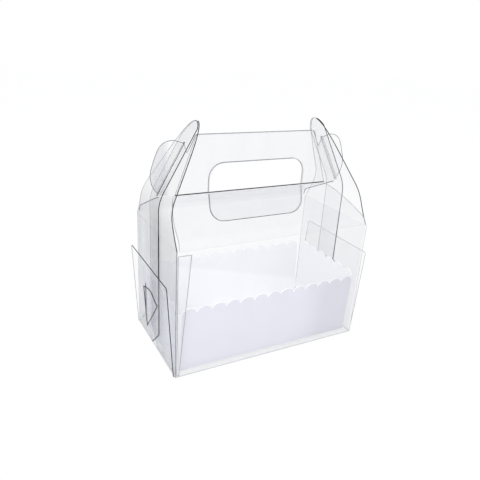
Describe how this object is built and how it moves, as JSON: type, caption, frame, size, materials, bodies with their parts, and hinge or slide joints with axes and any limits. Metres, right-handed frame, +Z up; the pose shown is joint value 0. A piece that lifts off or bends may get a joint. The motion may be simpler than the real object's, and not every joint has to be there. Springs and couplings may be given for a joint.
{
  "type": "gable box with handle and tray",
  "caption": "Clear creased-sheet gable box with a carrying handle, slotted end ears, end flaps with tongues and a scalloped board tray inside.",
  "frame": {"origin": "middle of the base panel's underside, on the surface that the box stands on", "axes": "+X along the box to its right end, +Y from the front wall to the back wall, +Z up"},
  "size_m": [0.1716, 0.085, 0.175],
  "materials": {
    "clear_sheet": "clear gloss",
    "white_board": "matte white"
  },
  "bodies": {
    "box": {"base_panel": "clear_sheet", "front_wall": "clear_sheet", "back_wall": "clear_sheet", "seam_flap": "clear_sheet", "left_front_half_end": "clear_sheet", "left_back_half_end": "clear_sheet", "right_front_half_end": "clear_sheet", "right_back_half_end": "clear_sheet", "back_roof": "clear_sheet", "back_handle": "clear_sheet"},
    "front_lid": {"front_roof": "clear_sheet"},
    "front_grip": {"front_handle": "clear_sheet"},
    "front_finger_flap": {"front_hole_flap": "clear_sheet"},
    "back_finger_flap": {"back_hole_flap": "clear_sheet"},
    "left_outer_ear": {"left_back_ear": "clear_sheet"},
    "left_inner_ear": {"left_front_ear": "clear_sheet"},
    "right_outer_ear": {"right_back_ear": "clear_sheet"},
    "right_inner_ear": {"right_front_ear": "clear_sheet"},
    "left_flap": {"left_end_flap": "clear_sheet"},
    "right_flap": {"right_end_flap": "clear_sheet"},
    "left_lock": {"left_tongue": "clear_sheet"},
    "right_lock": {"right_tongue": "clear_sheet"},
    "tray": {"tray_floor": "white_board", "tray_left_wall": "white_board", "tray_right_wall": "white_board"},
    "tray_front": {"tray_front_wall": "white_board"},
    "tray_back": {"tray_back_wall": "white_board"}
  },
  "joints": [
    {"name": "front_lid_open", "type": "hinge", "parent": "box", "child": "front_lid", "pos_m": [0, -0.0425, 0.098], "axis": [1, 0, 0], "range_deg": [0, 110]},
    {"name": "front_grip_fold", "type": "hinge", "parent": "front_lid", "child": "front_grip", "pos_m": [0, -0.0005, 0.1232], "axis": [1, 0, 0], "range_deg": [0, 90]},
    {"name": "front_finger_flap_swing", "type": "hinge", "parent": "front_lid", "child": "front_finger_flap", "pos_m": [0, -0.0004, 0.1217], "axis": [-1, 0, 0], "range_deg": [0, 45]},
    {"name": "back_finger_flap_swing", "type": "hinge", "parent": "box", "child": "back_finger_flap", "pos_m": [0, 0.0004, 0.1217], "axis": [1, 0, 0], "range_deg": [0, 45]},
    {"name": "left_outer_ear_open", "type": "hinge", "parent": "box", "child": "left_outer_ear", "pos_m": [-0.08, 0, 0.098], "axis": [0, -1, 0], "range_deg": [0, 60]},
    {"name": "left_inner_ear_open", "type": "hinge", "parent": "box", "child": "left_inner_ear", "pos_m": [-0.08, 0, 0.098], "axis": [0, -1, 0], "range_deg": [0, 60]},
    {"name": "right_outer_ear_open", "type": "hinge", "parent": "box", "child": "right_outer_ear", "pos_m": [0.08, 0, 0.098], "axis": [0, 1, 0], "range_deg": [0, 60]},
    {"name": "right_inner_ear_open", "type": "hinge", "parent": "box", "child": "right_inner_ear", "pos_m": [0.08, 0, 0.098], "axis": [0, 1, 0], "range_deg": [0, 60]},
    {"name": "left_flap_open", "type": "hinge", "parent": "box", "child": "left_flap", "pos_m": [-0.0803, 0, 0.0005], "axis": [0, -1, 0], "range_deg": [0, 84]},
    {"name": "right_flap_open", "type": "hinge", "parent": "box", "child": "right_flap", "pos_m": [0.0803, 0, 0.0005], "axis": [0, 1, 0], "range_deg": [0, 84]},
    {"name": "tray_lift", "type": "slide", "parent": "box", "child": "tray", "axis": [0, 0, 1], "range_m": [0, 0.035]},
    {"name": "tray_front_fold", "type": "hinge", "parent": "tray", "child": "tray_front", "pos_m": [0, -0.0372, 0.0019], "axis": [-1, 0, 0], "range_deg": [0, 40]},
    {"name": "tray_back_fold", "type": "hinge", "parent": "tray", "child": "tray_back", "pos_m": [0, 0.0372, 0.0019], "axis": [1, 0, 0], "range_deg": [0, 40]},
    {"name": "left_lock_swing", "type": "hinge", "parent": "left_flap", "child": "left_lock", "pos_m": [-0.0805, 0.015, 0.0005], "axis": [0.0698, 0, -0.9976], "range_deg": [0, 50]},
    {"name": "right_lock_swing", "type": "hinge", "parent": "right_flap", "child": "right_lock", "pos_m": [0.0805, 0.015, 0.0005], "axis": [0.0698, 0, 0.9976], "range_deg": [0, 50]}
  ],
  "couplings": [
    {"joint": "left_inner_ear_open", "follows": "left_outer_ear_open", "ratio": 1},
    {"joint": "right_inner_ear_open", "follows": "right_outer_ear_open", "ratio": 1}
  ]
}
